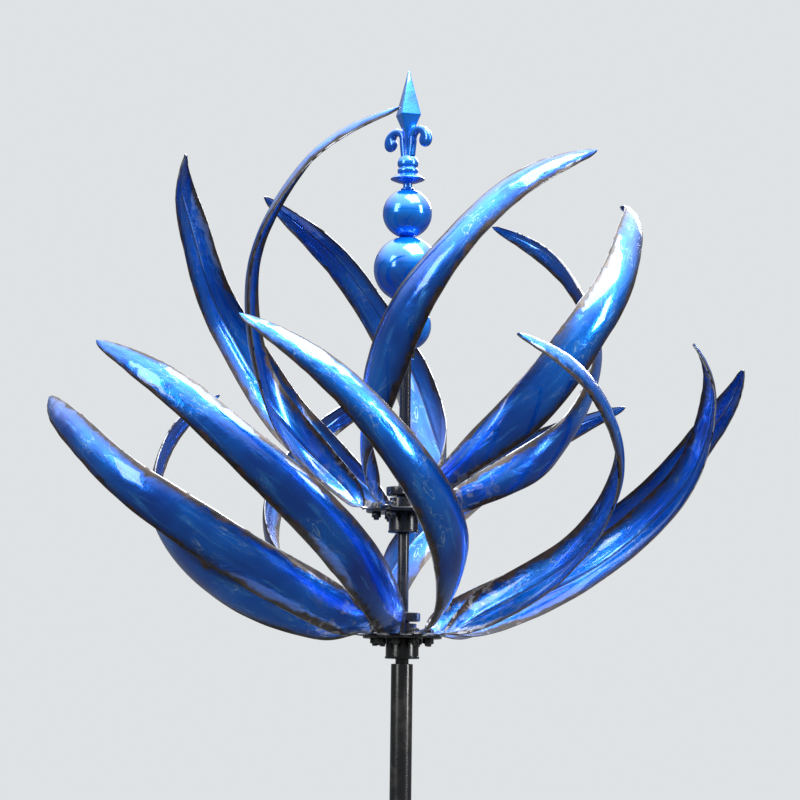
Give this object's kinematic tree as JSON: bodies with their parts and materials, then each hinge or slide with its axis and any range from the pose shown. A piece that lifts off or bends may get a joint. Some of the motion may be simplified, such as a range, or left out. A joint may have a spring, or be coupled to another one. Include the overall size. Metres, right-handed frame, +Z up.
{
  "type": "kinetic wind sculpture",
  "caption": "Garden wind spinner: stacked rotors of curved trough petals turn in opposite hands on a staked pole, under hollow balls and a fleur-de-lis finial.",
  "frame": {"origin": "on the pole's axis at ground level, where the stake's central spike enters the soil", "axes": "+Z up along the pole; seen along +Y, +X is to the right"},
  "size_m": [0.6169, 0.581, 2.134],
  "materials": {
    "petal_lacquer": "high-gloss candy blue lacquer over steel, burnt to brown-black along the edges, bare cut edges",
    "ornament_lacquer": "high-gloss blue enamel",
    "black_coat": "satin-gloss black powder coat",
    "bearing_steel": "bright ground steel"
  },
  "bodies": {
    "pole": {"ball_lower": "ornament_lacquer", "ball_middle": "ornament_lacquer", "ball_seat_nut": "black_coat", "ball_upper": "ornament_lacquer", "collar_screws": "black_coat", "finial_rings": "ornament_lacquer", "finial_saucer": "ornament_lacquer", "finial_scroll_left": "ornament_lacquer", "finial_scroll_right": "ornament_lacquer", "finial_spear": "ornament_lacquer", "lower_bearing_balls": "bearing_steel", "lower_bearing_inner_races": "bearing_steel", "lower_spacer": "black_coat", "lower_stop_collar": "black_coat", "pole_lower": "black_coat", "pole_middle": "black_coat", "pole_plug": "black_coat", "pole_screws": "black_coat", "pole_sleeves": "black_coat", "pole_upper": "black_coat", "rod": "black_coat", "rod_circlip": "bearing_steel", "stake_prongs": "black_coat", "stake_socket": "black_coat", "stake_spike": "black_coat", "upper_bearing_balls": "bearing_steel", "upper_bearing_inner_races": "bearing_steel", "upper_stop_collar": "black_coat"},
    "lower_wheel": {"lower_bearing_outer_races": "bearing_steel", "lower_hub_circlips": "bearing_steel", "lower_hub_housing": "black_coat", "lower_hub_plate": "black_coat", "lower_petal_1": "petal_lacquer", "lower_petal_2": "petal_lacquer", "lower_petal_3": "petal_lacquer", "lower_petal_4": "petal_lacquer", "lower_petal_5": "petal_lacquer", "lower_petal_6": "petal_lacquer", "lower_petal_7": "petal_lacquer", "lower_petal_8": "petal_lacquer", "lower_petal_9": "petal_lacquer", "lower_petal_bolts": "black_coat", "lower_petal_nuts": "black_coat", "lower_petal_washers": "bearing_steel"},
    "upper_wheel": {"upper_bearing_outer_races": "bearing_steel", "upper_hub_circlips": "bearing_steel", "upper_hub_housing": "black_coat", "upper_hub_plate": "black_coat", "upper_petal_1": "petal_lacquer", "upper_petal_2": "petal_lacquer", "upper_petal_3": "petal_lacquer", "upper_petal_4": "petal_lacquer", "upper_petal_5": "petal_lacquer", "upper_petal_6": "petal_lacquer", "upper_petal_bolts": "black_coat", "upper_petal_nuts": "black_coat", "upper_petal_washers": "bearing_steel"}
  },
  "joints": [
    {"name": "lower_wheel_spin", "type": "hinge", "parent": "pole", "child": "lower_wheel", "pos_m": [0, 0, 1.431], "axis": [0, 0, 1], "continuous": true},
    {"name": "upper_wheel_spin", "type": "hinge", "parent": "pole", "child": "upper_wheel", "pos_m": [0, 0, 1.541], "axis": [0, 0, 1], "continuous": true}
  ]
}
